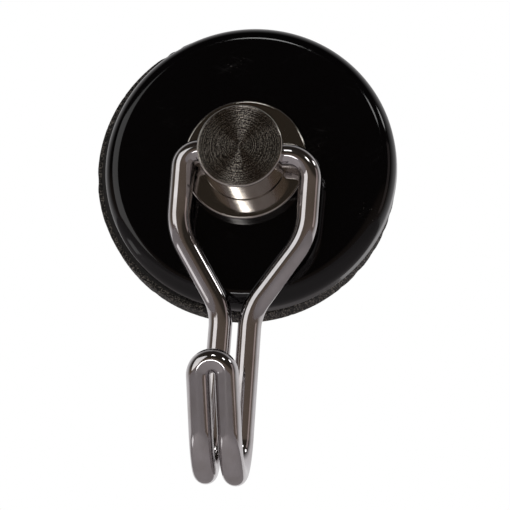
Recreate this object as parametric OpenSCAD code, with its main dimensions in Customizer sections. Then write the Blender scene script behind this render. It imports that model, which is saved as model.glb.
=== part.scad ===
// Magnetic hook: a ring magnet on a round steel plate, with a post that turns in the middle
// and a bent wire hook that swings in the post.
// The magnet's face lies on the plane y = 0 and looks along +Y, towards the steel wall it grips.
// The origin is where the swivel axis meets that plane. The hook hangs down, along -Z.

/* [Ring magnet] */
// Outer diameter of the ring magnet
magnet_d = 63.5; // [40:0.5:80]
// Diameter of the hole through the ring magnet
magnet_hole_d = 25; // [25:0.5:30]
// Thickness of the ring magnet
magnet_t = 6.4; // [6:0.1:12]
// How far the bonded ring sits beside the swivel axis
magnet_shift_x = -1; // [-1.4:0.1:1.4]
// How far the bonded ring sits above the swivel axis
magnet_shift_z = 0; // [-0.4:0.1:0.4]

/* [Backing plate] */
// Diameter of the steel plate behind the collar
plate_d = 62; // [40:1:80]
// Thickness of the steel plate
plate_t = 6.1; // [4:0.1:8]
// Radius of the plate's rounded front edge
plate_edge_r = 3.5; // [1:0.1:3.5]
// How far the plate sits beside the swivel axis
plate_shift_x = 0.5; // [-1:0.1:1]
// How far the plate sits above the swivel axis
plate_shift_z = -0.1; // [-0.5:0.1:0.5]

/* [Collar and post] */
// Diameter of the flat collar under the post
collar_d = 26; // [22:0.1:26]
// Thickness of the collar
collar_t = 2.5; // [1.5:0.1:4]
// Diameter of the turned post
post_d = 17.8; // [16:0.1:17.8]
// Length of the turned post
post_l = 9.35; // [8.5:0.05:12]
// Gap between the post and the collar
post_gap = 0.15; // [0.1:0.05:0.3]
// Height of the cross holes' axis above the post's lower face
cross_h = 3.95; // [3.5:0.05:4.5]

/* [Hook wire] */
// Diameter of the hook's wire
wire_d = 4.9; // [4:0.1:5]
// Half the distance between the two straight sides of the bail
bail_half_w = 13.5; // [13.5:0.1:16]
// Depth below the pivot at which the sides of the bail turn inwards
knee_z = 16.9; // [15:0.1:20]
// Depth below the pivot at which the two legs come together
ankle_z = 33; // [31:0.5:40]
// Depth below the pivot of the hook's lowest centre line
bottom_z = 67.3; // [62:0.1:90]
// Distance between the back and front legs, centre to centre
mouth = 16.4; // [16:0.1:24]
// Depth below the pivot of the loop at the hook's tip
tip_z = 45.7; // [44:0.1:50]
// How far the tip leans forwards from the front legs' foot
tip_flare = 2.4; // [0:0.1:5]
// How far the tip leans to one side of the front legs' foot
tip_lean = -2.35; // [-3:0.05:3]
// Sideways play of the whole hook in its post
hook_shift = 1.2; // [-1.2:0.1:1.2]
// Angle at which the free hook hangs back towards the wall
hang_angle = 6.7; // [0:0.1:8]

/* [Hidden] */
$fn = 96;

// Heights above the wall, one layer after another.
adhesive_t = 0.2;
plate_h = magnet_t + adhesive_t;
collar_h = plate_h + plate_t;
post_h = collar_h + collar_t + post_gap;
pivot_h = post_h + cross_h;

// The pole core fills the ring's hole and holds the screw's head in a recess.
core_d = 22;
recess_d = 13;
recess_depth = 4.2;
core_chamfer = 0.5;

// The bush lines the core, plate and collar, and the screw's shoulder turns in it.
bush_d = 8;
bush_bore_d = 6.1;
seat_clearance = 0.02;
shoulder_d = 6;

// Screw head, washer and thread.
head_d = 10;
head_t = 2.8;
head_chamfer = 0.3;
socket_across = 4;
socket_depth = 1.7;
washer_d = 12;
washer_t = 0.6;
washer_gap = 0.15;
washer_clearance = 0.1;
thread_d = 5;
thread_l = 5.6;
thread_chamfer = 0.4;
tapped_l = 6.4;

// Magnet, film and collar edges.
magnet_chamfer = 0.5;
film_inset = 0.6;
plate_back_chamfer = 0.4;
collar_chamfer = 0.35;
post_chamfer = 0.45;
edge_break = 0.1;

// Cross holes in the post, and the wire's two ends inside them.
cross_clearance = 0.09;
cross_d = wire_d + 2 * cross_clearance;
cross_floor = 3.1;
pin_end = 4.7;

// A straight run is a hair thinner than a bend and enters it through the bend's flat end.
run_slack = 0.04;
run_overlap = 0.2;

// Corners of the wire's centre line. x goes across, y points back to the wall, z is up.
// The pivot is the origin here.
leg_half_top = 3;
leg_half_foot = 3.2;
loop_half = 2.9;
foot_shift = 0.85;
bail_r_left = 3.5;
bail_r_right = 5;
knee_r = 14;
ankle_r = 12;
foot_r = mouth / 2 - 0.1;
loop_r = 0.98 * loop_half;

function back_leg(side) = [
    [side * pin_end, 0, 0],
    [side * bail_half_w, 0, 0],
    [side * bail_half_w, 0, -knee_z],
    [side * leg_half_top, 0, -ankle_z],
    [side * leg_half_foot, 0, -bottom_z]
];
function front_leg(side) = [
    [side * loop_half + foot_shift, -mouth, -bottom_z],
    [side * loop_half + foot_shift + tip_lean, -mouth - tip_flare, -tip_z]
];
function reversed(list) = [for (i = [len(list) - 1 : -1 : 0]) list[i]];

wire_points = concat(back_leg(-1), front_leg(-1), reversed(front_leg(1)), reversed(back_leg(1)));
function half_radii(bail_r) = [0, bail_r, knee_r, ankle_r, foot_r, foot_r, loop_r];
wire_radii = concat(half_radii(bail_r_left), reversed(half_radii(bail_r_right)));

// Puts a shape drawn upwards from the floor on the wall, pointing away from it.
module on_wall(height = 0, x = 0, z = 0) {
    translate([x, -height, z]) rotate([90, 0, 0]) children();
}

// Disc with a chamfer round its lower and its upper edge.
module chamfered_disc(d, h, low, high) {
    r = d / 2;
    rotate_extrude()
        polygon([[0, 0], [r - low, 0], [r, low], [r, h - high], [r - high, h], [0, h]]);
}

// Hole through a part, with a little length to spare at both ends.
module drill(d, h) {
    spare = 0.5;
    translate([0, 0, -spare]) cylinder(d = d, h = h + 2 * spare);
}

function unit(v) = v / norm(v);
function corner_angle(a, b, c) = acos(unit(a - b) * unit(c - b));
function set_back(a, b, c, r) = r == 0 ? 0 : r / tan(corner_angle(a, b, c) / 2);

// Straight piece of wire from one point to another.
module wire_run(from, to, d) {
    run = to - from;
    tilt = acos(run[2] / norm(run));
    heading = atan2(run[1], run[0]);
    translate(from) rotate([0, tilt, heading]) cylinder(d = d, h = norm(run));
}

// Round bend of radius r at corner b, between the runs from a and to c.
module wire_bend(a, b, c, r, d) {
    back = unit(a - b);
    on = unit(c - b);
    inner = corner_angle(a, b, c);
    centre = b + unit(back + on) * r / sin(inner / 2);
    start = unit(b + back * set_back(a, b, c, r) - centre);
    ahead = -back;
    up = cross(start, ahead);
    multmatrix([
        [start[0], ahead[0], up[0], centre[0]],
        [start[1], ahead[1], up[1], centre[1]],
        [start[2], ahead[2], up[2], centre[2]],
        [0, 0, 0, 1]
    ])
        rotate_extrude(angle = 180 - inner) translate([r, 0]) circle(d = d);
}

// Wire of diameter d along the points, bent at each one with its own radius.
module bent_wire(points, radii, d) {
    last = len(points) - 1;
    backs = [for (i = [0 : last])
        i == 0 || i == last ? 0 : set_back(points[i - 1], points[i], points[i + 1], radii[i])];
    for (i = [0 : last - 1]) {
        way = unit(points[i + 1] - points[i]);
        from = points[i] + way * (i == 0 ? 0 : backs[i] - run_overlap);
        to = points[i + 1] - way * (i + 1 == last ? 0 : backs[i + 1] - run_overlap);
        wire_run(from, to, d - run_slack);
    }
    for (i = [1 : last - 1])
        wire_bend(points[i - 1], points[i], points[i + 1], radii[i], d);
}

// Ring of hard ferrite, pressed and ground flat on both faces.
module ring_magnet() {
    color("#2b2927") on_wall(0, magnet_shift_x, magnet_shift_z) difference() {
        chamfered_disc(magnet_d, magnet_t, magnet_chamfer, magnet_chamfer);
        drill(magnet_hole_d, magnet_t);
    }
}

// Thin film of adhesive between the magnet and the plate.
module adhesive_film() {
    color("#6b6452") on_wall(magnet_t, magnet_shift_x, magnet_shift_z) difference() {
        cylinder(d = magnet_d - 2 * (magnet_chamfer + film_inset), h = adhesive_t);
        drill(magnet_hole_d, adhesive_t);
    }
}

// Round steel plate with a rounded front edge and a black enamel coat.
module backing_plate() {
    r = plate_d / 2;
    edge = plate_edge_r;
    color("#08070a") on_wall(plate_h, plate_shift_x, plate_shift_z) difference() {
        rotate_extrude() union() {
            polygon([
                [0, 0], [r - plate_back_chamfer, 0], [r, plate_back_chamfer],
                [r, plate_t - edge], [r - edge, plate_t - edge], [r - edge, plate_t], [0, plate_t]
            ]);
            intersection() {
                translate([r - edge, plate_t - edge]) circle(r = edge);
                translate([r - edge, plate_t - edge]) square(edge);
            }
        }
        translate([-plate_shift_x, -plate_shift_z, 0])
            drill(bush_d + 2 * seat_clearance, plate_t);
    }
}

// Steel core that fills the ring's hole, flush with its face.
module pole_core() {
    color("#8e9093") on_wall(0) difference() {
        chamfered_disc(core_d, plate_h, core_chamfer, core_chamfer);
        drill(bush_d + 2 * seat_clearance, plate_h);
        translate([0, 0, -1]) cylinder(d = recess_d, h = recess_depth + 1);
    }
}

// Bright flat collar between the plate and the post.
module collar() {
    color("#c9c8c6") on_wall(collar_h) difference() {
        chamfered_disc(collar_d, collar_t, edge_break, collar_chamfer);
        drill(bush_d + 2 * seat_clearance, collar_t);
    }
}

// Plain bush pressed through the core, plate and collar.
module pivot_bush() {
    bush_l = collar_h + collar_t - recess_depth;
    color("#b08d4a") on_wall(recess_depth) difference() {
        cylinder(d = bush_d, h = bush_l);
        drill(bush_bore_d, bush_l);
    }
}

// Washer under the screw's head, resting on the floor of the recess.
module thrust_washer() {
    color("#e4e0d2") on_wall(recess_depth - washer_t) difference() {
        cylinder(d = washer_d, h = washer_t);
        drill(shoulder_d + 2 * washer_clearance, washer_t);
    }
}

// Screw that holds the post to the base and turns with it in the bush.
module shoulder_screw() {
    head_front = recess_depth - washer_t - washer_gap;
    head_back = head_front - head_t;
    color("#9a9b9d") on_wall(head_back) difference() {
        union() {
            chamfered_disc(head_d, head_t, head_chamfer, edge_break);
            translate([0, 0, head_t]) cylinder(d = shoulder_d, h = post_h - head_front);
            translate([0, 0, post_h - head_back]) chamfered_disc(thread_d, thread_l, edge_break, thread_chamfer);
        }
        translate([0, 0, -1])
            cylinder(d = socket_across / cos(30), h = socket_depth + 1, $fn = 6);
    }
}

// Turned post with a tapped hole behind and a blind cross hole in each side.
module post() {
    color("#5d5955") on_wall(post_h) difference() {
        chamfered_disc(post_d, post_l, edge_break, post_chamfer);
        translate([0, 0, -1]) cylinder(d = thread_d + 2 * seat_clearance, h = tapped_l + 1);
        for (side = [-1, 1])
            translate([side * cross_floor, 0, cross_h])
                rotate([0, side * 90, 0]) cylinder(d = cross_d, h = post_d);
    }
}

// One length of wire: two ends in the post, a bail, two legs side by side and a hook.
module wire_hook() {
    color("#b9b7b4") translate([hook_shift, -pivot_h, 0]) rotate([hang_angle, 0, 0])
        bent_wire(wire_points, wire_radii, wire_d);
}

ring_magnet();
adhesive_film();
backing_plate();
pole_core();
collar();
pivot_bush();
thrust_washer();
shoulder_screw();
post();
wire_hook();
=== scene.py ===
"""Looks of a magnetic hook: a ring-magnet base, a turned post that swivels and a swinging wire hook.

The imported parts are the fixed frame. The parts that show are replaced here by smooth surfaces at
the same places and sizes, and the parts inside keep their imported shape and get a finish.
"""

import logging
from dataclasses import dataclass, field
from enum import Enum

import bmesh
import bpy
import numpy as np
from mathutils import Matrix


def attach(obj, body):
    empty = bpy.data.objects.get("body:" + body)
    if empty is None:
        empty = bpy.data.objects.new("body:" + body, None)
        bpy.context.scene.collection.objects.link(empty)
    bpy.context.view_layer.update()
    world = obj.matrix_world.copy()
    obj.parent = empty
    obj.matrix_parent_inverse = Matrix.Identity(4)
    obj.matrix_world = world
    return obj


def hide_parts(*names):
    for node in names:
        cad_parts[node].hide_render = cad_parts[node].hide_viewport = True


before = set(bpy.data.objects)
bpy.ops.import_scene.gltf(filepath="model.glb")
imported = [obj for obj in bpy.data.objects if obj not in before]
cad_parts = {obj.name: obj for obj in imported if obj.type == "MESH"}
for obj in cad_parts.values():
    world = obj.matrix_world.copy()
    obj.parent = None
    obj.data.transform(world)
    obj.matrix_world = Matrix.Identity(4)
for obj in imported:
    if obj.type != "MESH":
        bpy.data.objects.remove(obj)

LOG = logging.getLogger("magnetic_hook")
MM = 0.001  # one millimetre, in metres
FULL_TURN = 2 * np.pi
SEAM = 1e-7  # points nearer than this, in metres, are one point
GUARD_SHARE = 0.25  # a guard point's distance from its arc, as a share of the arc's radius
GUARD_MM = 0.06  # and the most that it may be
ACROSS_GROOVES = 0.25  # share of a full turn that lays a metal's sheen across its grooves


class Body(Enum):
    """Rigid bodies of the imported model."""

    BASE = "base"
    SWIVEL = "swivel"
    HOOK = "hook"


class Slot(Enum):
    """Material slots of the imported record."""

    FERRITE = "ferrite"
    ENAMEL = "black_enamel"
    CHROME = "chrome_plate"
    TURNED = "turned_chrome"
    WIRE = "chrome_wire"


# ---------------------------------------------------------------------------------------------
# Surfaces


def unit(vectors: np.ndarray) -> np.ndarray:
    """Scales each vector of the last axis to length one.

    Args:
        vectors: array whose last axis holds the vectors.

    Returns:
        The scaled array.
    """
    return vectors / np.linalg.norm(vectors, axis=-1, keepdims=True)


def rounded_outline(
    corners: list[tuple[float, float, float]], closed: bool, steps: int = 8
) -> np.ndarray:
    """Outline with its corners rounded, for a lathe.

    Each corner of radius r becomes an arc about the point that lies r from both of its sides:
    the arc's points are centre + r (sin((1-t)w) a + sin(t w) b) / sin(w), for t from 0 to 1,
    where a and b are the unit directions to its two ends and w is the angle between them.
    A guard point beside each end of an arc keeps the flats flat under smooth shading.

    Args:
        corners: (radius from the axis, height, corner radius) for each corner.
        closed: whether the last corner joins the first.
        steps: number of pieces in each arc.

    Returns:
        Array of (radius, height) points.
    """
    points = np.array([c[:2] for c in corners], float)
    count = len(points)
    out: list[np.ndarray] = []
    for i, (_, _, r) in enumerate(corners):
        here = points[i]
        if r <= 0 or (not closed and i in (0, count - 1)):
            out.append(here[None])
            continue
        back, ahead = unit(points[i - 1] - here), unit(points[(i + 1) % count] - here)
        inner = np.arccos(np.clip(back @ ahead, -1, 1))
        set_back = r / np.tan(inner / 2)
        centre = here + unit(back + ahead) * r / np.sin(inner / 2)
        start, end = here + back * set_back, here + ahead * set_back
        a, b, sweep = (start - centre) / r, (end - centre) / r, np.pi - inner
        t = np.linspace(0, 1, steps + 1)[:, None]
        arc = centre + r * (np.sin((1 - t) * sweep) * a + np.sin(t * sweep) * b) / np.sin(sweep)
        guard = min(GUARD_SHARE * r, GUARD_MM)
        out += [(start + back * guard)[None], arc, (end + ahead * guard)[None]]
    return np.concatenate(out)


def lathe(outline: np.ndarray, turns: int, centres: np.ndarray | None = None) -> np.ndarray:
    """Surface of revolution about the axis that stands out of the wall.

    P(i, j) = (cx + r cos a, -h, cz + r sin a), with a = 2 pi j / turns, in millimetres.

    Args:
        outline: (radius, height above the wall) for each ring.
        turns: points around each ring.
        centres: (x, z) of the axis at each ring, or None for the swivel axis.

    Returns:
        Grid of points, rings by turns by 3.
    """
    angle = FULL_TURN * np.arange(turns) / turns
    centres = np.zeros_like(outline) if centres is None else centres
    x = centres[:, :1] + outline[:, :1] * np.cos(angle)
    z = centres[:, 1:] + outline[:, :1] * np.sin(angle)
    y = np.repeat(-outline[:, 1:], turns, axis=1)
    return np.stack([x, y, z], axis=-1)


class Skin:
    """A skin sewn from grids of points."""

    def __init__(self) -> None:
        """Starts with no grids."""
        self._points: list[np.ndarray] = []
        self._faces: list[np.ndarray] = []
        self._uvs: list[np.ndarray] = []
        self._count = 0

    def add_grid(
        self,
        grid: np.ndarray,
        around: bool = False,
        along: bool = False,
        size: tuple[float, float] = (1.0, 1.0),
    ) -> None:
        """Adds a grid of quads.

        Face (i, j) joins the points (i, j), (i+1, j), (i+1, j+1) and (i, j+1), and its corners'
        UVs are those indices as shares of the grid, times size, so a seam never runs backwards.

        Args:
            grid: points in millimetres, rows by columns by 3.
            around: whether the last column joins the first.
            along: whether the last row joins the first.
            size: UV extent across the columns and down the rows.
        """
        rows, columns = grid.shape[:2]
        i = np.arange(rows if along else rows - 1)[:, None]
        j = np.arange(columns if around else columns - 1)[None]
        corners = [(i, j), (i + 1, j), (i + 1, j + 1), (i, j + 1)]
        whole_i, whole_j = np.ones_like(i * j) * i, np.ones_like(i * j) * j
        index = [(a % rows) * columns + b % columns for a, b in corners]
        self._faces.append(np.stack(index, axis=-1).reshape(-1, 4) + self._count)
        spans = (columns if around else columns - 1, rows if along else rows - 1)
        uv = [
            np.stack([size[0] * (whole_j + b) / spans[0], size[1] * (whole_i + a) / spans[1]], axis=-1)
            for a, b in ((0, 0), (1, 0), (1, 1), (0, 1))
        ]
        self._uvs.append(np.stack(uv, axis=2).reshape(-1, 2))
        self._points.append(grid.reshape(-1, 3))
        self._count += rows * columns

    def add_fan(self, ring: np.ndarray, centre: np.ndarray) -> None:
        """Closes a ring of points with triangles, as a grid whose last row is one point.

        Args:
            ring: points in millimetres.
            centre: the point in the middle.
        """
        self.add_grid(np.stack([ring, np.repeat(centre[None], len(ring), axis=0)]), around=True)

    def build(self, name: str, sharp_degrees: float = 32.0) -> bpy.types.Object:
        """Makes the object: seams sewn, faces outwards, smooth but for edges past the angle.

        Args:
            name: the piece's name.
            sharp_degrees: angle between faces from which an edge stays sharp.

        Returns:
            The new object, at the origin.
        """
        points = np.concatenate(self._points) * MM
        faces = np.concatenate(self._faces)
        mesh = bpy.data.meshes.new(name)
        mesh.from_pydata(points.tolist(), [], faces.tolist())
        layer = mesh.uv_layers.new(name="UVMap")
        layer.data.foreach_set("uv", np.concatenate(self._uvs).astype(np.float32).ravel())
        work = bmesh.new()
        work.from_mesh(mesh)
        bmesh.ops.remove_doubles(work, verts=work.verts, dist=SEAM)
        bmesh.ops.recalc_face_normals(work, faces=work.faces)
        work.to_mesh(mesh)
        work.free()
        mesh.polygons.foreach_set("use_smooth", np.ones(len(mesh.polygons), bool))
        mesh.set_sharp_from_angle(angle=np.radians(sharp_degrees))
        mesh.update()
        piece = bpy.data.objects.new(name, mesh)
        bpy.context.scene.collection.objects.link(piece)
        return piece


# ---------------------------------------------------------------------------------------------
# Finishes


def linear(code: str) -> tuple[float, float, float, float]:
    """Turns an sRGB hex colour into a linear one, by the sRGB curve.

    Args:
        code: the colour, as "#rrggbb".

    Returns:
        Red, green, blue and an opacity of one.
    """
    channels = np.array([int(code[i : i + 2], 16) for i in (1, 3, 5)]) / 255
    flat = np.where(channels <= 0.04045, channels / 12.92, ((channels + 0.055) / 1.055) ** 2.4)
    return (*flat.tolist(), 1.0)


def per_metre(size_mm: float) -> float:
    """Turns the size of a pattern's grain into the number of grains in a metre.

    Args:
        size_mm: size of one grain in millimetres.

    Returns:
        The pattern's scale.
    """
    return 1 / (size_mm * MM)


def add_node(
    tree: bpy.types.NodeTree, kind: str, settings: dict | None = None, links: dict | None = None
) -> bpy.types.Node:
    """Adds a node with its settings and links.

    Args:
        tree: the node tree.
        kind: the node's type, without the "ShaderNode" in front.
        settings: property names, or input names or numbers, and their values; "stops" holds the
            positions and hex colours of a colour ramp.
        links: input names or numbers, and the output sockets that feed them.

    Returns:
        The new node.
    """
    node = tree.nodes.new("ShaderNode" + kind)
    for key, value in (settings or {}).items():
        if key == "stops":
            band = node.color_ramp.elements
            while len(band) < len(value):
                band.new(0.5)
            for element, (position, code) in zip(band, value.items(), strict=True):
                element.position = position
                element.color = linear(code)
        elif isinstance(key, str) and key in node.bl_rna.properties:
            setattr(node, key, value)
        else:
            node.inputs[key].default_value = value
    for key, output in (links or {}).items():
        tree.links.new(output, node.inputs[key])
    return node


@dataclass(frozen=True)
class Finish:
    """A surface finish: its colour and the few numbers that a whole surface shares."""

    name: str
    colour: str
    metallic: float = 0.0
    roughness: float = 0.5
    anisotropic: float = 0.0
    ior: float = 1.5
    relief_mm: float = 0.0

    def material(self) -> bpy.types.Material:
        """Makes the material: the plain values, then the finish's own pattern on top.

        Returns:
            The new material.
        """
        made = bpy.data.materials.new(self.name)
        made.use_nodes = True
        tree = made.node_tree
        tree.nodes.clear()
        settings = {
            "Base Color": linear(self.colour),
            "Metallic": self.metallic,
            "Roughness": self.roughness,
            "Anisotropic": self.anisotropic,
        }
        if self.anisotropic:
            settings["Anisotropic Rotation"] = ACROSS_GROOVES
        if not self.metallic:
            settings["IOR"] = self.ior
        links = self.pattern(tree, add_node(tree, "TexCoord"))
        relief = add_node(tree, "Bump", {"Distance": self.relief_mm * MM}, {"Height": links.pop("Height")})
        links["Normal"] = relief.outputs["Normal"]
        shader = add_node(tree, "BsdfPrincipled", settings, links)
        add_node(tree, "OutputMaterial", links={"Surface": shader.outputs["BSDF"]})
        return made

    def pattern(self, tree: bpy.types.NodeTree, place: bpy.types.Node) -> dict[str, bpy.types.NodeSocket]:
        """Adds the finish's own pattern.

        Args:
            tree: the node tree.
            place: the texture coordinates.

        Returns:
            The sockets that feed the shader's inputs, and the relief's "Height".
        """
        raise NotImplementedError

    def rings(
        self, tree: bpy.types.NodeTree, place: bpy.types.Node, pitch_mm: float, detail: float
    ) -> bpy.types.NodeSocket:
        """Adds uneven rings about the swivel axis: noise of the distance from that axis.

        Args:
            tree: the node tree.
            place: the texture coordinates.
            pitch_mm: distance from ring to ring in millimetres.
            detail: number of finer layers.

        Returns:
            The ring pattern, from 0 to 1.
        """
        no_depth = {"operation": "MULTIPLY", 1: (1, 0, 1)}
        flat = add_node(tree, "VectorMath", no_depth, {0: place.outputs["Object"]})
        radius = add_node(tree, "VectorMath", {"operation": "LENGTH"}, {0: flat.outputs["Vector"]})
        settings = {"noise_dimensions": "1D", "Scale": per_metre(pitch_mm), "Detail": detail}
        return add_node(tree, "TexNoise", settings, {"W": radius.outputs["Value"]}).outputs["Fac"]


@dataclass(frozen=True)
class PolishedChromeWire(Finish):
    """Bright chrome plate over drawn steel wire.

    The eye gets crisp mirror bands along the wire, broken by faint lines left by the drawing die
    and by the softest cloudiness of handling. Real die lines are a few hundredths of a millimetre
    apart, too fine to show, so they are drawn coarser.
    """

    line_mm: float = 0.35
    line_shrink: float = 0.02  # how fast the lines change along the wire, against across it
    cloud_mm: float = 4.0
    cloud_span: tuple[float, float] = (0.35, 0.7)
    rough_spread: tuple[float, float] = (0.7, 1.5)
    handled: str = "#c0bcbb"
    relief_mm: float = 0.0012

    def pattern(self, tree: bpy.types.NodeTree, place: bpy.types.Node) -> dict[str, bpy.types.NodeSocket]:
        """Adds die lines along the wire, read from the wire's own UV map in millimetres.

        Args:
            tree: the node tree.
            place: the texture coordinates.

        Returns:
            The sockets that feed the shader's inputs, and the relief's "Height".
        """
        settings = {"Scale": (1, self.line_shrink, 1)}
        lengthwise = add_node(tree, "Mapping", settings, {"Vector": place.outputs["UV"]})
        settings = {"Scale": 1 / self.line_mm, "Detail": 3.0}
        lines = add_node(tree, "TexNoise", settings, {"Vector": lengthwise.outputs["Vector"]})
        settings = {"Scale": per_metre(self.cloud_mm), "Detail": 3.0}
        clouds = add_node(tree, "TexNoise", settings, {"Vector": place.outputs["Object"]}).outputs["Fac"]
        start, end = self.cloud_span
        low, high = (self.roughness * share for share in self.rough_spread)
        settings = {"From Min": start, "From Max": end, "To Min": low, "To Max": high}
        rough = add_node(tree, "MapRange", settings, {"Value": clouds})
        tint = add_node(tree, "ValToRGB", {"stops": {0.3: self.colour, 0.75: self.handled}}, {"Fac": clouds})
        return {
            "Base Color": tint.outputs["Color"],
            "Roughness": rough.outputs["Result"],
            "Height": lines.outputs["Fac"],
        }


@dataclass(frozen=True)
class TurnedChrome(Finish):
    """Chrome plate over a part turned on a lathe, its face left from the tool and its side polished.

    The fine grooves of the face run round the axis, so light spreads across them: the face is
    smoky, with a narrow pale bow tie that points to the light and a grain of broken grooves. The
    side is a near mirror. A finishing cut leaves grooves about 0.1 mm apart, too fine to show, so
    they are drawn coarser.
    """

    pitch_mm: float = 0.22
    pit_mm: float = 0.32
    groove_span: tuple[float, float] = (0.14, 0.38)
    rough_spread: tuple[float, float] = (0.8, 1.25)
    relief_mm: float = 0.005
    side_roughness: float = 0.09
    side_colour: str = "#c9c4be"
    groove_colour: str = "#57524e"
    ridge_colour: str = "#bdb6ad"
    face_y_mm: float = -24.69  # just inside the face; the grooves are full from here outwards
    fade_mm: float = 0.03  # depth over which they fade away behind it

    def pattern(self, tree: bpy.types.NodeTree, place: bpy.types.Node) -> dict[str, bpy.types.NodeSocket]:
        """Adds the grooves to the face and turns its sheen across them.

        Args:
            tree: the node tree.
            place: the texture coordinates.

        Returns:
            The sockets that feed the shader's inputs, and the relief's "Height".
        """
        spot = place.outputs["Object"]
        depth = add_node(tree, "SeparateXYZ", links={"Vector": spot}).outputs["Y"]
        face, side = self.face_y_mm * MM, (self.face_y_mm + self.fade_mm) * MM
        settings = {"From Min": face, "From Max": side, "To Min": 1.0, "To Max": 0.0}
        on_face = add_node(tree, "MapRange", settings, {"Value": depth}).outputs["Result"]
        grooves = self.rings(tree, place, self.pitch_mm, 4.0)
        settings = {"Scale": per_metre(self.pit_mm), "Detail": 4.0}
        pits = add_node(tree, "TexNoise", settings, {"Vector": spot}).outputs["Fac"]
        mixed = add_node(tree, "Math", {"operation": "MULTIPLY"}, {0: grooves, 1: pits}).outputs["Value"]
        start, end = self.groove_span
        low, high = (self.roughness * share for share in self.rough_spread)
        settings = {"From Min": start, "From Max": end, "To Min": low, "To Max": high}
        rough = add_node(tree, "MapRange", settings, {"Value": mixed}).outputs["Result"]
        chosen = add_node(tree, "Mix", {2: self.side_roughness}, {0: on_face, 3: rough})
        sheen = add_node(tree, "Math", {"operation": "MULTIPLY", 1: self.anisotropic}, {0: on_face})
        stops = {0.19: self.groove_colour, 0.25: self.colour, 0.33: self.ridge_colour}
        worn = add_node(tree, "ValToRGB", {"stops": stops}, {"Fac": mixed}).outputs["Color"]
        settings = {"data_type": "RGBA", 6: linear(self.side_colour)}
        tint = add_node(tree, "Mix", settings, {0: on_face, 7: worn})
        along = add_node(tree, "Tangent", {"direction_type": "UV_MAP", "uv_map": "UVMap"})
        relief = add_node(tree, "Math", {"operation": "MULTIPLY"}, {0: on_face, 1: mixed})
        return {
            "Base Color": tint.outputs[2],
            "Roughness": chosen.outputs[0],
            "Anisotropic": sheen.outputs["Value"],
            "Tangent": along.outputs["Tangent"],
            "Height": relief.outputs["Value"],
        }


@dataclass(frozen=True)
class BrightChrome(Finish):
    """Bright chrome plate on a stamped or turned flat part.

    A near mirror, with the faintest rings of the turning under the plate and a little waviness,
    so that reflections bend slightly.
    """

    pitch_mm: float = 0.9
    cloud_mm: float = 2.5
    cloud_span: tuple[float, float] = (0.35, 0.7)
    rough_spread: tuple[float, float] = (0.7, 1.5)
    handled: str = "#b9b2ab"
    relief_mm: float = 0.0015

    def pattern(self, tree: bpy.types.NodeTree, place: bpy.types.Node) -> dict[str, bpy.types.NodeSocket]:
        """Adds faint rings and handling marks.

        Args:
            tree: the node tree.
            place: the texture coordinates.

        Returns:
            The sockets that feed the shader's inputs, and the relief's "Height".
        """
        settings = {"Scale": per_metre(self.cloud_mm), "Detail": 3.0}
        clouds = add_node(tree, "TexNoise", settings, {"Vector": place.outputs["Object"]}).outputs["Fac"]
        start, end = self.cloud_span
        low, high = (self.roughness * share for share in self.rough_spread)
        settings = {"From Min": start, "From Max": end, "To Min": low, "To Max": high}
        rough = add_node(tree, "MapRange", settings, {"Value": clouds})
        tint = add_node(tree, "ValToRGB", {"stops": {0.3: self.colour, 0.75: self.handled}}, {"Fac": clouds})
        return {
            "Base Color": tint.outputs["Color"],
            "Roughness": rough.outputs["Result"],
            "Height": self.rings(tree, place, self.pitch_mm, 2.0),
        }


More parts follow.
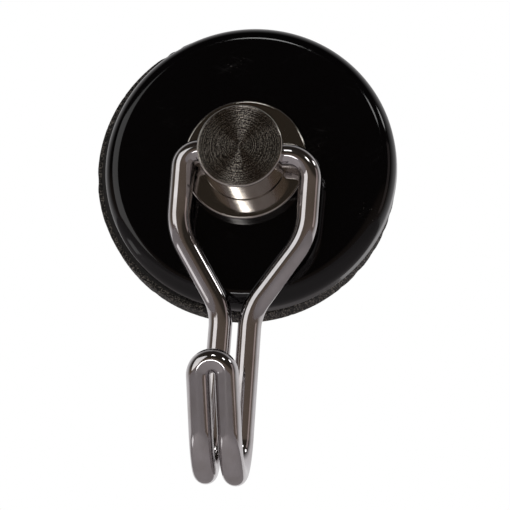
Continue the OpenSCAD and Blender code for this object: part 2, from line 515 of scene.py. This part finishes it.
@dataclass(frozen=True)
class BlackEnamel(Finish):
    """Stoved black enamel sprayed on steel.

    Deep black under a clear gloss. A little orange peel makes reflections waver, and fine hairline
    scratches, rubbed patches and a few specks of dust catch the light. Real hairlines and dust are
    finer than a tenth of a millimetre, too fine to show, so they are drawn coarser.
    """

    peel_mm: float = 2.2
    relief_mm: float = 0.0015
    scratch_mm: float = 0.5
    scratch_degrees: tuple[float, ...] = (18, -34)
    scratch_stretch: float = 7
    scratch_waver: float = 0.6
    worn_span: tuple[float, float] = (0.35, 0.5)
    rough_spread: tuple[float, float] = (1, 3)
    patch_mm: float = 11.0
    dust_mm: float = 0.6
    dust_colour: str = "#6b6866"

    def pattern(self, tree: bpy.types.NodeTree, place: bpy.types.Node) -> dict[str, bpy.types.NodeSocket]:
        """Adds orange peel, hairline scratches and dust.

        Args:
            tree: the node tree.
            place: the texture coordinates.

        Returns:
            The sockets that feed the shader's inputs, and the relief's "Height".
        """
        spot = place.outputs["Object"]
        peel = add_node(tree, "TexNoise", {"Scale": per_metre(self.peel_mm), "Detail": 1.0}, {"Vector": spot})
        hairs = []
        for degrees in self.scratch_degrees:
            turn = (0, np.radians(degrees), 0)
            stretch = (self.scratch_stretch, 1, 1)
            settings = {"vector_type": "TEXTURE", "Scale": stretch, "Rotation": turn}
            swept = add_node(tree, "Mapping", settings, {"Vector": spot}).outputs["Vector"]
            settings = {"Scale": per_metre(self.scratch_mm), "Detail": 2.0, "Distortion": self.scratch_waver}
            hairs.append(add_node(tree, "TexNoise", settings, {"Vector": swept}).outputs["Fac"])
        worst = add_node(tree, "Math", {"operation": "MAXIMUM"}, {0: hairs[0], 1: hairs[1]}).outputs["Value"]
        settings = {"Scale": per_metre(self.patch_mm), "Detail": 2.0}
        patches = add_node(tree, "TexNoise", settings, {"Vector": spot}).outputs["Fac"]
        worn = add_node(tree, "Math", {"operation": "MULTIPLY"}, {0: worst, 1: patches}).outputs["Value"]
        start, end = self.worn_span
        low, high = (self.roughness * share for share in self.rough_spread)
        settings = {"From Min": start, "From Max": end, "To Min": low, "To Max": high}
        rough = add_node(tree, "MapRange", settings, {"Value": worn})
        settings = {"Scale": per_metre(self.dust_mm), "Detail": 1.0}
        specks = add_node(tree, "TexNoise", settings, {"Vector": spot})
        links = {0: specks.outputs["Fac"], 1: patches}
        dusty = add_node(tree, "Math", {"operation": "MULTIPLY"}, links).outputs["Value"]
        stops = {0.47: self.colour, 0.58: self.dust_colour}
        tint = add_node(tree, "ValToRGB", {"stops": stops}, {"Fac": dusty})
        return {
            "Base Color": tint.outputs["Color"],
            "Roughness": rough.outputs["Result"],
            "Height": peel.outputs["Fac"],
        }


@dataclass(frozen=True)
class SinteredFerrite(Finish):
    """Strontium ferrite, pressed, fired and ground on its faces.

    A matt charcoal stone, with grit, pale chipped grains and short upright strokes on its rim
    where it left the die. Real grains are micrometres across, too fine to show, so the grit is
    drawn coarser.
    """

    grit_mm: float = 0.35
    stroke_mm: float = 0.3
    stroke_shrink: float = 0.2  # how fast the strokes change across the rim, against along it
    stroke_share: float = 0.75  # weight of the strokes against the grit
    grit_span: tuple[float, float] = (0.3, 0.7)
    rough_spread: tuple[float, float] = (0.8, 1.2)
    pore_colour: str = "#030303"
    grain_colour: str = "#57534c"
    chip_colour: str = "#958f86"
    relief_mm: float = 0.1

    def pattern(self, tree: bpy.types.NodeTree, place: bpy.types.Node) -> dict[str, bpy.types.NodeSocket]:
        """Adds grit and the strokes that run across the rim.

        Args:
            tree: the node tree.
            place: the texture coordinates.

        Returns:
            The sockets that feed the shader's inputs, and the relief's "Height".
        """
        spot = place.outputs["Object"]
        settings = {"Scale": per_metre(self.grit_mm), "Detail": 4.0}
        grit = add_node(tree, "TexNoise", settings, {"Vector": spot}).outputs["Fac"]
        upright = add_node(tree, "Mapping", {"Scale": (1.0, self.stroke_shrink, 1.0)}, {"Vector": spot})
        settings = {"Scale": per_metre(self.stroke_mm), "Detail": 3.0}
        strokes = add_node(tree, "TexNoise", settings, {"Vector": upright.outputs["Vector"]})
        mixed = add_node(tree, "Mix", {0: self.stroke_share}, {2: grit, 3: strokes.outputs["Fac"]}).outputs[0]
        stops = {0.42: self.pore_colour, 0.49: self.colour, 0.55: self.grain_colour, 0.62: self.chip_colour}
        tint = add_node(tree, "ValToRGB", {"stops": stops}, {"Fac": mixed})
        start, end = self.grit_span
        low, high = (self.roughness * share for share in self.rough_spread)
        settings = {"From Min": start, "From Max": end, "To Min": low, "To Max": high}
        rough = add_node(tree, "MapRange", settings, {"Value": grit})
        return {"Base Color": tint.outputs["Color"], "Roughness": rough.outputs["Result"], "Height": mixed}


@dataclass(frozen=True)
class MachinedMetal(Finish):
    """Plain metal turned on a lathe: zinc-plated steel or bare brass.

    Satin, with fine rings about the axis and slow stains.
    """

    stain: str = "#8f9194"
    stain_mm: float = 3.0
    pitch_mm: float = 0.25
    ring_span: tuple[float, float] = (0.3, 0.7)
    rough_spread: tuple[float, float] = (0.8, 1.3)
    relief_mm: float = 0.006

    def pattern(self, tree: bpy.types.NodeTree, place: bpy.types.Node) -> dict[str, bpy.types.NodeSocket]:
        """Adds tool rings and stains.

        Args:
            tree: the node tree.
            place: the texture coordinates.

        Returns:
            The sockets that feed the shader's inputs, and the relief's "Height".
        """
        grooves = self.rings(tree, place, self.pitch_mm, 3.0)
        settings = {"Scale": per_metre(self.stain_mm), "Detail": 3.0}
        clouds = add_node(tree, "TexNoise", settings, {"Vector": place.outputs["Object"]}).outputs["Fac"]
        tint = add_node(tree, "ValToRGB", {"stops": {0.35: self.colour, 0.7: self.stain}}, {"Fac": clouds})
        start, end = self.ring_span
        low, high = (self.roughness * share for share in self.rough_spread)
        settings = {"From Min": start, "From Max": end, "To Min": low, "To Max": high}
        rough = add_node(tree, "MapRange", settings, {"Value": grooves})
        return {"Base Color": tint.outputs["Color"], "Roughness": rough.outputs["Result"], "Height": grooves}


@dataclass(frozen=True)
class PlainPolymer(Finish):
    """Nylon sheet or cured adhesive: matt, faintly mottled and never quite even."""

    mottle: str = "#d8d3c4"
    grain_mm: float = 0.8
    relief_mm: float = 0.02

    def pattern(self, tree: bpy.types.NodeTree, place: bpy.types.Node) -> dict[str, bpy.types.NodeSocket]:
        """Adds the mottling.

        Args:
            tree: the node tree.
            place: the texture coordinates.

        Returns:
            The sockets that feed the shader's inputs, and the relief's "Height".
        """
        settings = {"Scale": per_metre(self.grain_mm), "Detail": 3.0}
        clouds = add_node(tree, "TexNoise", settings, {"Vector": place.outputs["Object"]}).outputs["Fac"]
        tint = add_node(tree, "ValToRGB", {"stops": {0.35: self.colour, 0.7: self.mottle}}, {"Fac": clouds})
        return {"Base Color": tint.outputs["Color"], "Height": clouds}


WIRE_CHROME = PolishedChromeWire("polished_chrome_wire", "#d0cdcf", metallic=1.0, roughness=0.08)
POST_CHROME = TurnedChrome("turned_chrome_post", "#8a847e", metallic=1.0, roughness=0.18, anisotropic=0.95)
COLLAR_CHROME = BrightChrome("bright_chrome_collar", "#cac5bf", metallic=1.0, roughness=0.08)
PLATE_ENAMEL = BlackEnamel("stoved_black_enamel", "#050407", roughness=0.08)
RING_FERRITE = SinteredFerrite("sintered_ferrite", "#171614", roughness=0.75)
CORE_ZINC = MachinedMetal("zinc_plated_steel", "#a9abae", metallic=1.0, roughness=0.34)
BUSH_BRASS = MachinedMetal("turned_brass", "#b8954e", metallic=1.0, roughness=0.3, stain="#8a6a35")
WASHER_NYLON = PlainPolymer("natural_nylon", "#e6e1d3", roughness=0.55)
BOND_ADHESIVE = PlainPolymer("cured_adhesive", "#1d1a17", roughness=0.45, mottle="#121010")
FLOOR_PAINT = PlainPolymer("matt_floor_paint", "#dfd9da", roughness=0.8, mottle="#dad4d5", grain_mm=60.0)


def dress(piece: bpy.types.Object, finish: Finish) -> None:
    """Gives a piece one finish on every slot.

    Args:
        piece: the piece.
        finish: its finish.
    """
    made = bpy.data.materials.get(finish.name) or finish.material()
    if not piece.material_slots:
        piece.data.materials.append(made)
    for slot in piece.material_slots:
        slot.material = made


def settle(piece: bpy.types.Object, finish: Finish, body: Body, node: str) -> None:
    """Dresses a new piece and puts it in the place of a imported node.

    Args:
        piece: the new piece.
        finish: its finish.
        body: the body that it rides on.
        node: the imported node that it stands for.
    """
    dress(piece, finish)
    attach(piece, body.value)
    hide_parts(node)
    LOG.info("%s stands for %s: %d faces", piece.name, node, len(piece.data.polygons))


# ---------------------------------------------------------------------------------------------
# Sub-assemblies. All sizes are in millimetres; heights stand out from the wall.


@dataclass
class MagnetBase:
    """Ring magnet, enamelled plate and collar, with the core, bush and washer inside them."""

    ring_r: float = 31.75
    ring_hole_r: float = 12.5
    ring_t: float = 6.4
    ring_centre: tuple[float, float] = (-1.0, 0.0)
    ring_edge_r: float = 0.5
    ring_hole_edge_r: float = 0.3
    ring_step: float = 0.4
    plate_r: float = 31.0
    plate_back: float = 6.6
    plate_front: float = 12.7
    plate_edge_r: float = 3.5
    plate_back_edge_r: float = 0.4
    plate_centre: tuple[float, float] = (0.5, -0.1)
    plate_slide: float = 16.0  # width of flat over which the rings' centres slide to the plate's own
    plate_step: float = 1.6
    collar_r: float = 13.0
    collar_front: float = 15.2
    collar_edge_r: float = 0.45
    collar_back_edge_r: float = 0.1
    collar_step: float = 0.8
    bush_hole_r: float = 4.02
    seed: int = 7
    ripples: int = 40
    ripple_waves: tuple[int, int] = (20, 240)  # fewest and most waves round the ring
    ripple_slope: float = 1.2  # spread of the waves' slant across the rim
    ripple_depth: float = 0.03
    worn_width: float = 1.2  # how far in from the rim the wear begins
    worn_fade: float = 0.8  # width over which it grows to its full depth
    chips: int = 46
    chip_width: tuple[float, float] = (0.3, 1.0)
    chip_depth: tuple[float, float] = (0.1, 0.4)
    turns: int = 384
    inner_parts: dict[str, Finish] = field(
        default_factory=lambda: {
            "adhesive_film": BOND_ADHESIVE,
            "pole_core": CORE_ZINC,
            "pivot_bush": BUSH_BRASS,
            "thrust_washer": WASHER_NYLON,
        }
    )

    def build(self) -> None:
        """Builds and dresses the base's pieces."""
        settle(self.ring(), RING_FERRITE, Body.BASE, "ring_magnet")
        settle(self.plate(), PLATE_ENAMEL, Body.BASE, "backing_plate")
        settle(self.collar(), COLLAR_CHROME, Body.BASE, "collar")
        for node, finish in self.inner_parts.items():
            dress(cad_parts[node], finish)
            LOG.info("%s keeps its packed shape", node)

    def ring(self) -> bpy.types.Object:
        """Ferrite ring with a gritty rim and small chips along its edges.

        The rim's radius loses a sum of sines of random phase, and each chip takes away
        depth exp(-(da/w)^2 - (dh/w)^2) near the edge where it lies.

        Returns:
            The ring.
        """
        rng = np.random.default_rng(self.seed)
        corners = [
            (self.ring_hole_r, 0.0, self.ring_hole_edge_r),
            (self.ring_r, 0.0, self.ring_edge_r),
            (self.ring_r, self.ring_t, self.ring_edge_r),
            (self.ring_hole_r, self.ring_t, self.ring_hole_edge_r),
        ]
        outline = self.subdivided(rounded_outline(corners, closed=True, steps=5), self.ring_step)
        grid = lathe(outline, self.turns * 2)
        angle = FULL_TURN * np.arange(self.turns * 2)[None] / (self.turns * 2)
        height = outline[:, 1:]
        outside = np.clip((outline[:, :1] - self.ring_r + self.worn_width) / self.worn_fade, 0, 1)
        waves = rng.integers(*self.ripple_waves, self.ripples)
        phase = rng.uniform(0, FULL_TURN, self.ripples)
        slope = rng.normal(0, self.ripple_slope, self.ripples)
        numbers = zip(waves, phase, slope, strict=True)
        ripple = sum(np.sin(n * angle + p + s * height) / np.sqrt(n) for n, p, s in numbers)
        at = rng.uniform(0, FULL_TURN, self.chips)
        edge = rng.choice([0.0, self.ring_t], self.chips)
        width = rng.uniform(*self.chip_width, self.chips)
        depth = rng.uniform(*self.chip_depth, self.chips)
        away = np.abs((angle[..., None] - at + np.pi) % FULL_TURN - np.pi) * self.ring_r / width
        down = (height[..., None] - edge) / width
        bites = (depth * np.exp(-(away**2) - down**2)).sum(axis=-1)
        loss = outside * (self.ripple_depth * (1 + ripple / 2).clip(0) + bites)
        grid[..., 0] += self.ring_centre[0] - loss * np.cos(angle)
        grid[..., 2] += self.ring_centre[1] - loss * np.sin(angle)
        skin = Skin()
        skin.add_grid(grid, around=True, along=True)
        return skin.build("ferrite_ring")

    def plate(self) -> bpy.types.Object:
        """Plate with a quarter-round front edge; its hole stays on the swivel axis.

        The rings' centres slide from the swivel axis to the plate's own centre as the radius grows
        over the flats, so the faces stay flat.

        Returns:
            The plate.
        """
        corners = [
            (self.bush_hole_r, self.plate_back, 0.0),
            (self.plate_r, self.plate_back, self.plate_back_edge_r),
            (self.plate_r, self.plate_front, self.plate_edge_r),
            (self.bush_hole_r, self.plate_front, 0.0),
        ]
        outline = self.subdivided(rounded_outline(corners, closed=True, steps=24), self.plate_step)
        share = np.clip((outline[:, :1] - self.bush_hole_r) / self.plate_slide, 0, 1)
        skin = Skin()
        grid = lathe(outline, self.turns, share * np.array([self.plate_centre]))
        skin.add_grid(grid, around=True, along=True)
        return skin.build("enamelled_plate")

    def collar(self) -> bpy.types.Object:
        """Flat collar with a small rounded front edge.

        Returns:
            The collar.
        """
        corners = [
            (self.bush_hole_r, self.plate_front, 0.0),
            (self.collar_r, self.plate_front, self.collar_back_edge_r),
            (self.collar_r, self.collar_front, self.collar_edge_r),
            (self.bush_hole_r, self.collar_front, 0.0),
        ]
        outline = self.subdivided(rounded_outline(corners, closed=True, steps=10), self.collar_step)
        skin = Skin()
        skin.add_grid(lathe(outline, self.turns), around=True, along=True)
        return skin.build("chrome_collar")

    @staticmethod
    def subdivided(outline: np.ndarray, step: float) -> np.ndarray:
        """Adds points on an outline's long runs, so that none is much longer than step.

        Args:
            outline: closed outline.
            step: longest run to leave.

        Returns:
            The outline with its long runs split evenly.
        """
        following = np.roll(outline, -1, axis=0)
        runs = np.linalg.norm(following - outline, axis=1)
        parts = [
            a + (b - a) * np.linspace(0, 1, max(1, int(np.ceil(run / step))), endpoint=False)[:, None]
            for a, b, run in zip(outline, following, runs, strict=True)
        ]
        return np.concatenate(parts)


@dataclass
class SwivelPost:
    """Turned post with a round hole in each side for the wire's ends, and the screw behind it."""

    radius: float = 8.9
    back: float = 15.35
    length: float = 9.35
    chamfer: float = 0.45
    chamfer_round: float = 0.85  # radius of the front edge, as a share of the chamfer
    back_chamfer: float = 0.45
    tapped_r: float = 2.52
    tapped_l: float = 6.4
    hole_r: float = 2.54
    hole_h: float = 3.95
    hole_floor: float = 3.1
    half_turns: int = 128
    rows: int = 40
    row_crowding: float = 1.5  # the rows lie closer together near the hole
    face_rings: int = 24

    def build(self) -> None:
        """Builds and dresses the post, and dresses the screw."""
        settle(self.post(), POST_CHROME, Body.SWIVEL, "post")
        dress(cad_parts["shoulder_screw"], CORE_ZINC)
        LOG.info("shoulder_screw keeps its packed shape")

    def post(self) -> bpy.types.Object:
        """Post sewn from its face, its back, two half walls and two blind holes.

        Returns:
            The post.
        """
        front = self.back + self.length
        wall_low, wall_high = self.back + self.back_chamfer, front - self.chamfer
        face_r = np.linspace(0, self.radius - self.chamfer - GUARD_MM, self.face_rings)
        face = np.stack([face_r, np.full(self.face_rings, front)], axis=1)
        corners = [
            (self.radius - self.chamfer, front, 0.0),
            (self.radius, front, self.chamfer * self.chamfer_round),
            (self.radius, wall_high, 0.0),
        ]
        edge = rounded_outline(corners, closed=False)
        turns = 2 * self.half_turns
        skin = Skin()
        skin.add_grid(lathe(np.concatenate([face, edge]), turns), around=True)
        hole = np.array(
            [
                (self.radius, wall_low),
                (self.radius - self.back_chamfer, self.back),
                (self.tapped_r, self.back),
                (self.tapped_r, self.back + self.tapped_l),
                (0.0, self.back + self.tapped_l),
            ]
        )
        skin.add_grid(lathe(hole, turns), around=True)
        for side in (1, -1):
            wall, rim, floor = self.half_wall(side, wall_low, wall_high)
            skin.add_grid(wall, around=True)
            skin.add_grid(np.stack([rim, floor]), around=True)
            skin.add_fan(floor, floor.mean(axis=0))
        return skin.build("turned_post")

    def half_wall(self, side: int, low: float, high: float) -> tuple[np.ndarray, np.ndarray, np.ndarray]:
        """Half of the post's wall, with a round hole in it.

        Unrolled, the half is a rectangle with a circle in it. Row k of the grid lies
        (k / rows)^row_crowding of the way from the circle to the rectangle along straight lines;
        the hole's edge is the circle pushed on to the wall: x = sqrt(radius^2 - z^2).

        Args:
            side: 1 for the right half and -1 for the left.
            low: height of the wall's lower edge.
            high: height of its upper edge.

        Returns:
            The wall's grid, the hole's rim and the hole's floor.
        """
        steps = self.half_turns
        quarter = np.pi / 2
        across = np.linspace(-quarter, quarter, steps + 1)
        up = np.linspace(low, high, self.rows + 1)
        right, left = np.full(self.rows, quarter), np.full(self.rows, -quarter)
        angle = np.concatenate([across[:-1], right, across[:0:-1], left])
        height = np.concatenate([np.full(steps, low), up[:-1], np.full(steps, high), up[:0:-1]])
        centre_h = self.back + self.hole_h
        bearing = np.arctan2(height - centre_h, angle * self.radius)
        rim_z, rim_h = self.hole_r * np.cos(bearing), centre_h + self.hole_r * np.sin(bearing)
        rim_angle = np.arcsin(rim_z / self.radius)
        share = (np.arange(self.rows + 1) / self.rows)[:, None] ** self.row_crowding
        grid_angle = rim_angle + (angle - rim_angle) * share
        grid_h = rim_h + (height - rim_h) * share
        wall = np.stack(
            [side * self.radius * np.cos(grid_angle), -grid_h, self.radius * np.sin(grid_angle)], axis=-1
        )
        floor = np.stack([np.full_like(rim_z, side * self.hole_floor), -rim_h, rim_z], axis=-1)
        return wall, wall[0], floor


@dataclass
class WireHook:
    """One length of wire: two ends in the post, a bail, two legs and a double J with a closed tip."""

    wire_r: float = 2.45
    pivot_h: float = 19.3
    hang_degrees: float = 6.7
    side_play: float = 1.2
    pin_end: float = 4.7
    bail_half_w: float = 13.5
    knee_z: float = 16.9
    ankle_z: float = 33.0
    foot_z: float = 67.3
    leg_half_top: float = 3.0
    leg_half_foot: float = 3.2
    loop_half: float = 2.9
    foot_shift: float = 0.85
    mouth: float = 16.4
    tip_z: float = 45.7
    tip_flare: float = 2.4
    tip_lean: float = -2.35
    bail_r_left: float = 3.5
    bail_r_right: float = 5.0
    knee_r: float = 14.0
    ankle_r: float = 12.0
    foot_r: float = 8.1
    loop_r: float = 2.84
    step: float = 0.35
    run_points: int = 2  # fewest points on a straight run
    bend_points: int = 6  # and on a bend
    turns: int = 56

    def build(self) -> None:
        """Builds and dresses the hook."""
        settle(self.wire(), WIRE_CHROME, Body.HOOK, "wire_hook")

    def corners(self) -> tuple[np.ndarray, np.ndarray]:
        """Corners of the wire's centre line and the radius of the bend at each.

        Returns:
            Points from the pivot, x across, y to the wall and z up, and the bend radii.
        """
        back = [
            (self.pin_end, 0, 0),
            (self.bail_half_w, 0, 0),
            (self.bail_half_w, 0, -self.knee_z),
            (self.leg_half_top, 0, -self.ankle_z),
            (self.leg_half_foot, 0, -self.foot_z),
        ]
        left = [(-x, y, z) for x, y, z in back]
        tip_y, tip_x = -self.mouth - self.tip_flare, self.foot_shift + self.tip_lean
        foot_y, foot_z, half = -self.mouth, -self.foot_z, self.loop_half
        left += [(self.foot_shift - half, foot_y, foot_z), (tip_x - half, tip_y, -self.tip_z)]
        right = [(tip_x + half, tip_y, -self.tip_z), (self.foot_shift + half, foot_y, foot_z)]
        lower = [self.knee_r, self.ankle_r, self.foot_r, self.foot_r, self.loop_r]
        radii = [0.0, self.bail_r_left, *lower, *lower[::-1], self.bail_r_right, 0.0]
        return np.array(left + right + back[::-1], float), np.array(radii)

    def centre_line(self) -> tuple[np.ndarray, np.ndarray]:
        """Centre line of the wire: straight runs, and at each corner an arc that touches both.

        Returns:
            Points along the wire and the unit direction at each.
        """
        points, radii = self.corners()
        line: list[np.ndarray] = []
        heading: list[np.ndarray] = []
        start = points[0]
        for i in range(1, len(points)):
            last = i == len(points) - 1
            back = unit(points[i - 1] - points[i])
            ahead = -back if last else unit(points[i + 1] - points[i])
            inner = np.arccos(np.clip(back @ ahead, -1, 1))
            set_back = 0.0 if last else radii[i] / np.tan(inner / 2)
            end = points[i] + back * set_back
            count = max(self.run_points, int(np.linalg.norm(end - start) / self.step))
            share = np.linspace(0, 1, count + int(last), endpoint=last)[:, None]
            line.append(start + (end - start) * share)
            heading.append(np.repeat(-back[None], len(share), axis=0))
            if last:
                break
            sweep = np.pi - inner
            centre = points[i] + unit(back + ahead) * radii[i] / np.sin(inner / 2)
            out, on = unit(end - centre), -back
            bends = max(self.bend_points, int(radii[i] * sweep / self.step))
            turn = np.linspace(0, sweep, bends, endpoint=False)[:, None]
            line.append(centre + radii[i] * (np.cos(turn) * out + np.sin(turn) * on))
            heading.append(np.cos(turn) * on - np.sin(turn) * out)
            start = points[i] + ahead * set_back
        return np.concatenate(line), unit(np.concatenate(heading))

    def wire(self) -> bpy.types.Object:
        """Round wire carried along the centre line.

        P(s, a) = C(s) + r (cos a N(s) + sin a B(s)), where N is square to the wire's direction and
        to one slanting direction that the wire never follows, and B is square to both.

        Returns:
            The wire.
        """
        line, heading = self.centre_line()
        slant = unit(np.array([1.0, 1.0, 0.0]))
        normal = unit(np.cross(heading, slant))
        side = np.cross(heading, normal)
        angle = FULL_TURN * np.arange(self.turns)[None, :, None] / self.turns
        spoke = np.cos(angle) * normal[:, None] + np.sin(angle) * side[:, None]
        grid = self.placed(line[:, None] + self.wire_r * spoke)
        ends = self.placed(line[[0, -1]])
        length = np.linalg.norm(np.diff(line, axis=0), axis=1).sum()
        skin = Skin()
        skin.add_grid(grid, around=True, size=(FULL_TURN * self.wire_r, length))
        skin.add_fan(grid[0], ends[0])
        skin.add_fan(grid[-1], ends[1])
        return skin.build("wire_hook_form")

    def placed(self, points: np.ndarray) -> np.ndarray:
        """Leans points back by the hang angle about the pivot, and moves them to it.

        Args:
            points: points from the pivot, in millimetres.

        Returns:
            The points in the shared frame, in millimetres.
        """
        lean = np.radians(self.hang_degrees)
        turn = np.array([[1, 0, 0], [0, np.cos(lean), -np.sin(lean)], [0, np.sin(lean), np.cos(lean)]])
        return points @ turn.T + np.array([self.side_play, -self.pivot_h, 0.0])


# ---------------------------------------------------------------------------------------------
# Studio


@dataclass(frozen=True)
class SoftLight:
    """A flat light that faces the object: a rectangle, or an ellipse when rounded.

    Angles are in degrees, sizes and the distance in millimetres and the power in watts.
    """

    name: str
    azimuth: float
    elevation: float
    width: float
    height: float
    power: float
    colour: str = "#ffffff"
    distance: float = 900.0
    rounded: bool = False

    def place(self, target: np.ndarray) -> None:
        """Adds the light, at its distance from the target and facing it.

        Args:
            target: the point that it faces, in millimetres.
        """
        data = bpy.data.lights.new(self.name, "AREA")
        data.shape = "ELLIPSE" if self.rounded else "RECTANGLE"
        data.size, data.size_y = self.width * MM, self.height * MM
        data.energy = self.power
        data.color = linear(self.colour)[:3]
        lamp = bpy.data.objects.new(self.name, data)
        bpy.context.scene.collection.objects.link(lamp)
        right, up, away = view_axes(self.azimuth, self.elevation, 0.0)
        lamp.matrix_world = placement(right, up, away, (target + away * self.distance) * MM)


def view_axes(azimuth: float, elevation: float, roll: float) -> tuple[np.ndarray, np.ndarray, np.ndarray]:
    """Directions of something that looks at the object.

    Args:
        azimuth: degrees round from the front, towards +X.
        elevation: degrees above the horizon.
        roll: degrees that it is rolled about its view.

    Returns:
        Its right, its up, and the way from the object to it.
    """
    a, e, r = np.radians([azimuth, elevation, roll])
    away = np.array([np.sin(a) * np.cos(e), -np.cos(a) * np.cos(e), np.sin(e)])
    level = np.array([np.cos(a), np.sin(a), 0.0])
    up = np.cross(away, level)
    return level * np.cos(r) + up * np.sin(r), up * np.cos(r) - level * np.sin(r), away


def placement(right: np.ndarray, up: np.ndarray, away: np.ndarray, where: np.ndarray) -> Matrix:
    """Makes the matrix of an object from its axes and its place.

    Args:
        right: its own X.
        up: its own Y.
        away: its own Z.
        where: its place in metres.

    Returns:
        The matrix.
    """
    made = np.eye(4)
    made[:3, :4] = np.stack([right, up, away, where], axis=1)
    return Matrix(made.tolist())


# Colours of the room by height, from straight down (0) through level (0.5) to straight up (1)
ROOM_COLOURS = {
    0.0: "#96898a",
    0.4: "#7a6d70",
    0.48: "#665b52",
    0.56: "#5b5148",
    0.61: "#322d27",
    1.0: "#2a2623",
}


@dataclass
class Studio:
    """Camera, lights, surroundings and a plain pale floor well below the hook.

    Angles are in degrees, and lengths in millimetres except the camera's clip distances.
    """

    azimuth: float = 7.87
    elevation: float = -14.84
    roll: float = 5.21
    distance: float = 600.0
    lens: float = 203.6
    sensor: float = 36.0
    target: tuple[float, float, float] = (0.0, -15.0, -20.0)
    aim_right: float = 3.91
    aim_up: float = -0.79
    floor_z: float = -340.0
    floor_half: float = 2500.0
    floor_lines: int = 9
    clip_near: float = 0.01  # metres
    clip_far: float = 20.0  # metres
    backdrop: str = "#ffffff"
    sweep_colour: str = "#dcdadb"
    sweep_lean: float = 1.4  # how much further forward the sweep reaches at the ground
    sweep_span: tuple[float, float] = (-0.12, 0.45)
    lights: tuple[SoftLight, ...] = (
        SoftLight("left_softbox", azimuth=-42, elevation=14, width=600, height=560, power=1.1),
        SoftLight(
            "front_strip",
            azimuth=-9.5,
            elevation=-13.6,
            width=100,
            height=20,
            power=0.035,
            distance=340.0,
            rounded=True,
        ),
        SoftLight(
            "left_low_card", azimuth=-84, elevation=-21.5, width=300, height=100, power=0.075, distance=700.0
        ),
        SoftLight(
            "upper_right_lamp", azimuth=26, elevation=34, width=130, height=130, power=0.18, rounded=True
        ),
        SoftLight(
            "upper_front_lamp", azimuth=-8, elevation=36, width=150, height=110, power=0.24, rounded=True
        ),
        SoftLight("right_lamp", azimuth=72, elevation=41, width=150, height=150, power=0.25, rounded=True),
        SoftLight(
            "right_wash", azimuth=70, elevation=14, width=260, height=520, power=0.13, colour="#f6e3e2"
        ),
    )

    def build(self) -> None:
        """Sets up everything round the object."""
        self.surroundings()
        self.floor()
        self.camera()
        for light in self.lights:
            light.place(np.array(self.target))
        bpy.context.scene.view_settings.view_transform = "Standard"

    def surroundings(self) -> None:
        """Pale sweep behind the object and a dim warm room in front of it.

        A reflection reads its own direction: in front (y < 0) the room's colour runs with height
        from the dim ground through a lighter waist to the dark ceiling, and behind the object it
        passes to the sweep's white, which reaches further forward near the ground. The camera sees
        the backdrop's colour all round.
        """
        world = bpy.data.worlds.new("studio")
        bpy.context.scene.world = world
        world.use_nodes = True
        tree = world.node_tree
        tree.nodes.clear()
        way = add_node(tree, "SeparateXYZ", links={"Vector": add_node(tree, "TexCoord").outputs["Generated"]})
        settings = {"From Min": -1.0, "From Max": 1.0, "To Min": 0.0, "To Max": 1.0}
        height = add_node(tree, "MapRange", settings, {"Value": way.outputs["Z"]})
        links = {"Fac": height.outputs["Result"]}
        room = add_node(tree, "ValToRGB", {"stops": ROOM_COLOURS}, links).outputs["Color"]
        settings = {"From Min": 0.0, "From Max": -1.0, "To Min": 0.0, "To Max": self.sweep_lean}
        low = add_node(tree, "MapRange", settings, {"Value": way.outputs["Z"]})
        links = {0: low.outputs["Result"], 1: way.outputs["Y"]}
        turned = add_node(tree, "Math", {"operation": "ADD"}, links).outputs["Value"]
        start, end = self.sweep_span
        settings = {"From Min": start, "From Max": end, "To Min": 0.0, "To Max": 1.0}
        behind = add_node(tree, "MapRange", settings, {"Value": turned}).outputs["Result"]
        sweep = {"data_type": "RGBA", 7: linear(self.sweep_colour)}
        mixed = add_node(tree, "Mix", sweep, {0: behind, 6: room}).outputs[2]
        room_light = add_node(tree, "Background", {"Strength": 1.0}, {"Color": mixed})
        seen = add_node(tree, "Background", {"Color": linear(self.backdrop), "Strength": 1.0})
        ray = add_node(tree, "LightPath").outputs["Is Camera Ray"]
        links = {0: ray, 1: room_light.outputs["Background"], 2: seen.outputs["Background"]}
        chosen = add_node(tree, "MixShader", links=links)
        add_node(tree, "OutputWorld", links={"Surface": chosen.outputs["Shader"]})

    def floor(self) -> None:
        """Plain pale floor, a flat grid at z = floor_z."""
        line = np.linspace(-self.floor_half, self.floor_half, self.floor_lines)
        x, y = np.meshgrid(line, line, indexing="ij")
        skin = Skin()
        skin.add_grid(np.stack([x, y, np.full_like(x, self.floor_z)], axis=-1))
        floor = skin.build("studio_floor")
        dress(floor, FLOOR_PAINT)

    def camera(self) -> None:
        """Long lens from a little below and to the right of the hook."""
        right, up, away = view_axes(self.azimuth, self.elevation, self.roll)
        aim = np.array(self.target) + right * self.aim_right + up * self.aim_up
        data = bpy.data.cameras.new("studio_camera")
        data.lens, data.sensor_width = self.lens, self.sensor
        data.clip_start, data.clip_end = self.clip_near, self.clip_far
        camera = bpy.data.objects.new("studio_camera", data)
        bpy.context.scene.collection.objects.link(camera)
        camera.matrix_world = placement(right, up, away, (aim + away * self.distance) * MM)
        bpy.context.scene.camera = camera


def main() -> None:
    """Builds the sub-assemblies in order, then the studio."""
    logging.basicConfig(level=logging.INFO, format="%(name)s: %(message)s")
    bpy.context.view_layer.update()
    for part in (MagnetBase(), SwivelPost(), WireHook(), Studio()):
        part.build()
        LOG.info("%s is built", type(part).__name__)


if __name__ == "__main__":
    main()
